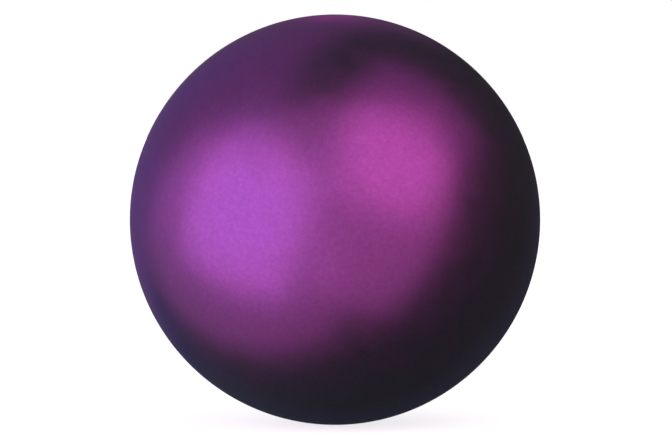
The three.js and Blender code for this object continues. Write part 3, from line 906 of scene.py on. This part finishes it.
def pearl_resin(name):
    """Pearl pigment under a satin-sanded skin. Its hue drifts slowly from violet on the left to magenta on
    the right. This is partly the pearl's own variation and partly a painted tint of the cool key light on
    the left and the warmer lamps on the right.
    Where it is drilled, it is duller and rougher."""
    finish = Finish(name, Metallic=1, Sheen_Weight=0.066, Sheen_Roughness=0.86)
    finish.set(Sheen_Tint=(*PEARL_HAZE, 1), Specular_Tint=(*PEARL_EDGE, 1))
    across = finish.node("ShaderNodeSeparateXYZ", Vector=finish.place).outputs["X"]
    # Painted light in part: the left side is painted bluer where the cool key light falls, and the right
    # side pinker.
    hue_drift_and_painted_tint = finish.ramp(across, start=0.05, end=0.95, over=(-BALL_RADIUS, BALL_RADIUS))
    cloud = finish.ramp(finish.noise(PEARL_CLOUDS, detail=3), start=-0.2, end=0.2)
    hue = finish.blend(finish.math("ADD", hue_drift_and_painted_tint, cloud), PEARL_VIOLET_WITH_PAINTED_COOL_TINT, PEARL_MAGENTA_WITH_PAINTED_WARM_TINT)
    mottle = finish.around(finish.noise(PEARL_MOTTLE, detail=4), middle=1, swing=0.075)
    flakes = finish.ramp(finish.cells(PEARL_FLAKES), start=0.95, end=1.06)
    drilled = finish.ramp(finish.depth(), start=0, end=1, over=DRILLED_DEPTHS)
    dulled = finish.ramp(drilled, start=1, end=DRILLED_SHADE)
    smears = finish.around(finish.noise(PEARL_SMEARS, detail=4), middle=PEARL_ROUGHNESS, swing=0.025)
    finish.relief(finish.noise(PEARL_GRAIN, detail=3), PEARL_RELIEF, strength=0.35)
    return finish.set(
        Base_Color=finish.shaded(hue, finish.product(mottle, flakes, dulled)),
        Roughness=finish.math("MULTIPLY_ADD", drilled, DRILLED_ROUGHNESS, smears),
    )


RESIN_CLOUDS = 60
RESIN_SPECKS = 1800
RESIN_SMEARS = 300
RESIN_GRAIN = 900


def cast_resin(name, color, roughness, speckle, relief):
    """Cast resin: slow clouds, specks of filler and an uneven skin."""
    finish = Finish(name)
    cloud = finish.around(finish.noise(RESIN_CLOUDS, detail=4), middle=1, swing=0.12)
    specks = finish.ramp(finish.cells(RESIN_SPECKS), start=1 - speckle, end=1 + speckle)
    finish.relief(finish.noise(RESIN_GRAIN, detail=4), relief, strength=0.5)
    return finish.set(
        Base_Color=finish.shaded(color, finish.product(cloud, specks)),
        Roughness=finish.around(finish.noise(RESIN_SMEARS, detail=3), middle=roughness, swing=0.06),
    )


# Hands wear the mouth of a grip down to this many times the size of its lip.
WORN_DEPTH_IN_LIPS = 3

RUBBER_BLACK = (0.020, 0.020, 0.026)
RUBBER_WORN = (0.052, 0.052, 0.060)
RUBBER_PATCHES = 260
RUBBER_GRAIN = 2600
RUBBER_RELIEF = 0.00008
RUBBER_ROUGHNESS = 0.74
RUBBER_WORN_ROUGHNESS = 0.52


def insert_rubber(name):
    """Soft vinyl with a fine matt grain, worn smoother and paler round the mouth."""
    finish = Finish(name)
    mouth = finish.ramp(finish.depth(), start=1, end=0, over=(0, WORN_DEPTH_IN_LIPS * INSERT_LIP))
    patches = finish.around(finish.noise(RUBBER_PATCHES, detail=4), middle=0.7, swing=0.3)
    wear = finish.product(mouth, patches)
    finish.relief(finish.noise(RUBBER_GRAIN), RUBBER_RELIEF, strength=0.7)
    return finish.set(
        Base_Color=finish.blend(wear, RUBBER_BLACK, RUBBER_WORN),
        Roughness=finish.ramp(wear, start=RUBBER_ROUGHNESS, end=RUBBER_WORN_ROUGHNESS),
    )


PLASTIC_PATCHES = 180
PLASTIC_STREAKS = 2400
PLASTIC_SHINE = 3600
PLASTIC_RINGS = 3000


def turned_plastic(name, color, worn, roughness, polished, relief):
    """Turned plastic with fine tool rings, smoother and paler where hands reach it."""
    finish = Finish(name)
    mouth = finish.ramp(finish.depth(), start=1, end=0, over=(0, WORN_DEPTH_IN_LIPS * SLUG_LIP))
    patches = finish.around(finish.noise(PLASTIC_PATCHES, detail=4), middle=0.7, swing=0.4)
    wear = finish.product(mouth, patches)
    streaks = finish.around(finish.rings(PLASTIC_STREAKS, detail=3), middle=1, swing=0.15)
    shine = finish.ramp(finish.rings(PLASTIC_SHINE), start=0.9, end=1.1)
    finish.relief(finish.rings(PLASTIC_RINGS), relief, strength=0.6)
    return finish.set(
        Base_Color=finish.shaded(finish.blend(wear, color, worn), streaks),
        Roughness=finish.product(finish.ramp(wear, start=roughness, end=polished), shine),
    )


STEEL = (0.45, 0.45, 0.46)
STEEL_ROUGHNESS = 0.35
STEEL_STAIN = 320
STEEL_STREAKS = 5200
STEEL_SHINE = 3100
STEEL_RINGS = 4200
STEEL_RELIEF = 0.00002
SOCKET_DARK_COLOR = (0.035, 0.033, 0.035)
SOCKET_DARK_ROUGHNESS = 0.3


def lock_steel(name):
    """Turned steel, with tool rings and a faint stain. Inside the key socket it is darker and rougher."""
    finish = Finish(name, Metallic=1)
    stain = finish.around(finish.noise(STEEL_STAIN, detail=4), middle=0.95, swing=0.13)
    streaks = finish.around(finish.rings(STEEL_STREAKS, detail=3), middle=1, swing=0.08)
    steel = finish.shaded(STEEL, finish.product(stain, streaks))
    along, away = finish.thumb_axis()
    socket_radius = corner_radius(KEY_SIDES, KEY_SOCKET_ACROSS_FLATS)
    within = finish.ramp(away, start=1, end=0, over=(socket_radius, socket_radius + EDGE_ROUNDING))
    sunk = finish.ramp(along, start=1, end=0, over=(THUMB_FLOOR - 2 * EDGE_ROUNDING, THUMB_FLOOR))
    in_head = finish.math("GREATER_THAN", along, SPINDLE_HEAD_BASE)
    # Inside the key socket the steel is made darker and rougher.
    socket_darkening = finish.product(within, sunk, in_head)
    shine = finish.around(finish.rings(STEEL_SHINE), middle=STEEL_ROUGHNESS, swing=0.07)
    finish.relief(finish.rings(STEEL_RINGS, detail=3), STEEL_RELIEF, strength=0.6)
    return finish.set(
        Base_Color=finish.blend(socket_darkening, steel, SOCKET_DARK_COLOR),
        Roughness=finish.math("MULTIPLY_ADD", socket_darkening, SOCKET_DARK_ROUGHNESS, shine),
    )


FILLER_GREY = (0.27, 0.25, 0.24)
BLOCK_RED = (0.33, 0.04, 0.03)
FLIP_BLOCK_BLACK = (0.03, 0.03, 0.04)
PIN_LILAC = (0.69, 0.60, 0.79)
SLEEVE_BLACK = (0.040, 0.030, 0.050)
SLEEVE_WORN = (0.075, 0.062, 0.088)
SLUG_BLACK = (0.010, 0.010, 0.011)
SLUG_WORN = (0.030, 0.030, 0.033)

# What makes each slot's material, and with what values
PIN_LOOK = {"color": PIN_LILAC, "roughness": 0.42, "speckle": 0.04, "relief": 0.00001}
LOOKS = {
    "pearl_resin": (pearl_resin, {}),
    "filler_resin": (
        cast_resin,
        {"color": FILLER_GREY, "roughness": 0.80, "speckle": 0.15, "relief": 0.00006},
    ),
    "dense_resin": (
        cast_resin,
        {"color": BLOCK_RED, "roughness": 0.70, "speckle": 0.12, "relief": 0.00005},
    ),
    "denser_resin": (
        cast_resin,
        {"color": FLIP_BLOCK_BLACK, "roughness": 0.70, "speckle": 0.20, "relief": 0.00005},
    ),
    "pin_resin": (cast_resin, PIN_LOOK),
    "mark_resin": (cast_resin, PIN_LOOK),
    "insert_rubber": (insert_rubber, {}),
    "sleeve_plastic": (
        turned_plastic,
        {"color": SLEEVE_BLACK, "worn": SLEEVE_WORN, "roughness": 0.50, "polished": 0.38, "relief": 0.00003},
    ),
    "slug_plastic": (
        turned_plastic,
        {"color": SLUG_BLACK, "worn": SLUG_WORN, "roughness": 0.46, "polished": 0.34, "relief": 0.00002},
    ),
    "lock_steel": (lock_steel, {}),
}


set_up_camera()
set_up_world()
add_floor()
add_lamps()
make_coverstock()
make_pin()
make_mark()
make_insert("middle_finger_grip", MIDDLE_FRAME, "middle_finger_insert")
make_insert("ring_finger_grip", RING_FRAME, "ring_finger_insert")
make_sleeve()
make_slug()
make_spindle()
make_bar()
make_screw()
carry("outer_core", "filler_resin")
carry("weight_block", "dense_resin")
carry("flip_block", "denser_resin")

bpy.context.scene.view_settings.view_transform = "Standard"
